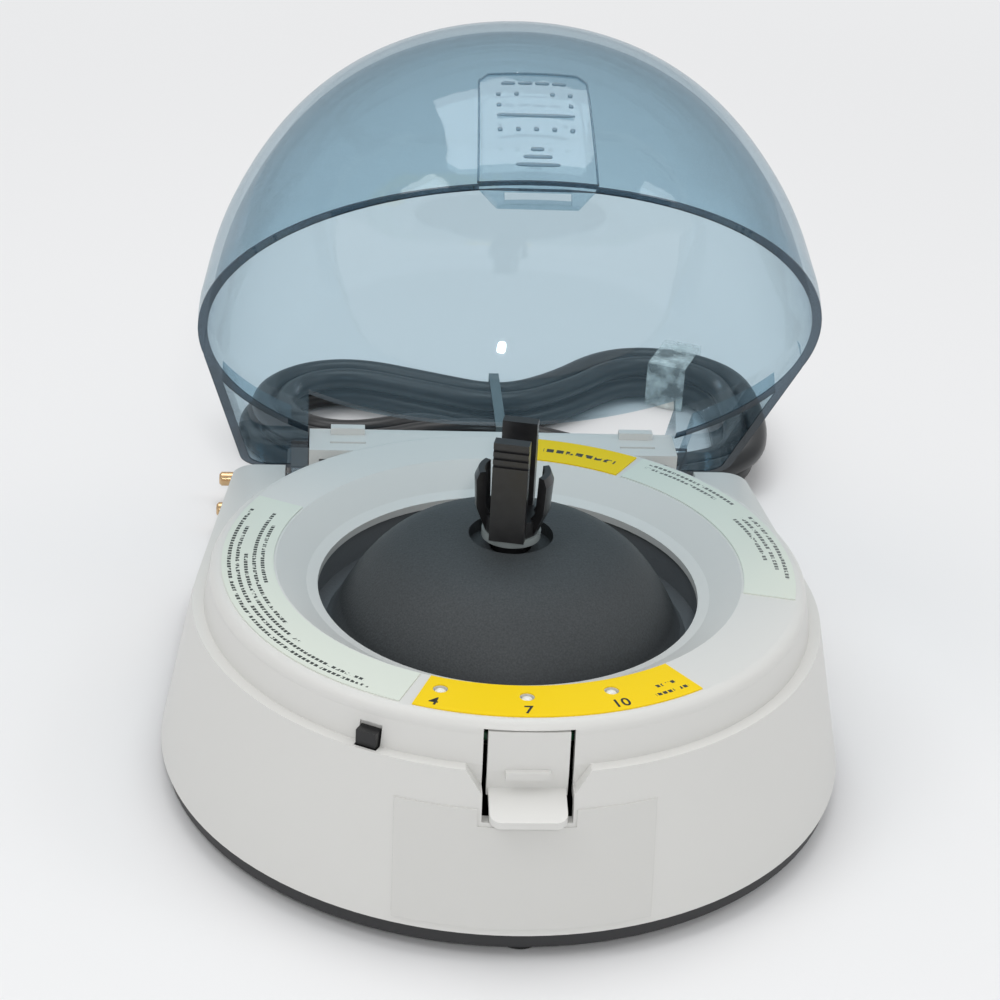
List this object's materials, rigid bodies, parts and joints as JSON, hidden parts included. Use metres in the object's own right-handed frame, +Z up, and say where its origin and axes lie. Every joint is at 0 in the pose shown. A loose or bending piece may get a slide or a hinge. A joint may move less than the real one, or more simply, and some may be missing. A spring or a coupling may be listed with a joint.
{
  "type": "hematocrit centrifuge",
  "caption": "Small bench centrifuge with a smoked dome lid open on its rear hinge, black bowl cover, drive hub, front latch and coiled mains lead.",
  "frame": {"origin": "On the rotor axis, in the plane that the feet stand on.", "axes": "+Z up along the rotor axis, the latch and the front towards -Y, the hinge and the mains lead towards +Y."},
  "size_m": [0.1705, 0.2943, 0.1658],
  "materials": {
    "warm_white_plastic": "fine moulded texture",
    "dark_plastic": "matte",
    "black_textured_plastic": "fine grained, dull",
    "hub_plastic": "satin",
    "pale_plastic": "translucent",
    "rubber": "matte",
    "cord_rubber": "semi-matte",
    "brass": "polished",
    "steel": "plain",
    "magnet": "dull",
    "circuit_board": "coated",
    "transformer_tape": "tape",
    "capacitor_sleeve": "sleeved",
    "connector_plastic": "moulded",
    "lamp_lens": "diffused",
    "yellow_film": "printed film",
    "pale_film": "printed film",
    "clear_film": "bare film",
    "smoked_clear": "smoked transparent",
    "rocker_plastic": "gloss",
    "button_plastic": "satin",
    "tie": "plastic-covered wire",
    "clear_band": "thin clear plastic"
  },
  "bodies": {
    "body": {"upper_housing": "warm_white_plastic", "bowl_cover": "black_textured_plastic", "bowl_cover_screws": "steel", "base_plate": "dark_plastic", "base_screws": "steel", "feet": "rubber", "motor_can": "steel", "motor_end_cap": "dark_plastic", "motor_bearings": "steel", "motor_carrier_plate": "steel", "motor_standoffs": "steel", "rubber_isolators": "rubber", "carrier_screws": "steel", "motor_screws": "steel", "main_board": "circuit_board", "board_screws": "steel", "board_transformer": "transformer_tape", "board_capacitors": "capacitor_sleeve", "board_connector": "connector_plastic", "display_board": "circuit_board", "display_screws": "steel", "indicator_lamps": "lamp_lens", "label_front": "yellow_film", "label_left": "pale_film", "label_rear": "yellow_film", "label_right": "pale_film", "skirt_label": "clear_film", "plunger_spring": "steel", "lid_switch": "dark_plastic", "hinge_pins": "steel", "power_switch_case": "dark_plastic", "speed_button_case": "dark_plastic", "cord_strain_relief": "cord_rubber", "supply_cord_entry": "cord_rubber", "supply_cord_hank": "cord_rubber", "supply_cord_plug_end": "cord_rubber", "cord_tie": "tie", "cord_band": "clear_band", "plug_body": "cord_rubber", "plug_pins": "brass", "plug_pin_sleeves": "cord_rubber"},
    "lid_body": {"lid": "smoked_clear"},
    "rotor": {"drive_hub": "hub_plastic", "hub_washer": "pale_plastic", "hub_screw": "steel", "motor_shaft": "steel", "motor_rotor": "magnet"},
    "latch": {"latch_tongue": "warm_white_plastic"},
    "plunger": {"interlock_plunger": "dark_plastic"},
    "rocker": {"power_rocker": "rocker_plastic"},
    "button": {"speed_button": "button_plastic"}
  },
  "joints": [
    {"name": "lid_hinge", "type": "hinge", "parent": "body", "child": "lid_body", "pos_m": [0, 0.071, 0.0331], "axis": [1, 0, 0], "range_deg": [0, 49.8], "deforming": ["plunger_spring"]},
    {"name": "rotor_spin", "type": "hinge", "parent": "body", "child": "rotor", "pos_m": [0, 0, 0.06], "axis": [0, 0, 1], "continuous": true},
    {"name": "latch_press", "type": "hinge", "parent": "body", "child": "latch", "pos_m": [0, -0.0683, 0.0493], "axis": [1, 0, 0], "range_deg": [0, 8], "stiffness_Nm_per_rad": 0.3, "springref_deg": -1.15},
    {"name": "plunger_slide", "type": "slide", "parent": "body", "child": "plunger", "axis": [0, 0, -1], "range_m": [0, 0.0039]},
    {"name": "rocker_tip", "type": "hinge", "parent": "body", "child": "rocker", "pos_m": [-0.022, 0.0763, 0.026], "axis": [0, 0, 1], "range_deg": [0, 18]},
    {"name": "speed_button_press", "type": "slide", "parent": "body", "child": "button", "axis": [0, -1, 0], "range_m": [0, 0.0012], "stiffness_N_per_m": 400, "springref_m": -0.001}
  ],
  "couplings": [
    {"joint": "plunger_slide", "follows": "lid_hinge", "m_per_rad": 0.004487}
  ]
}
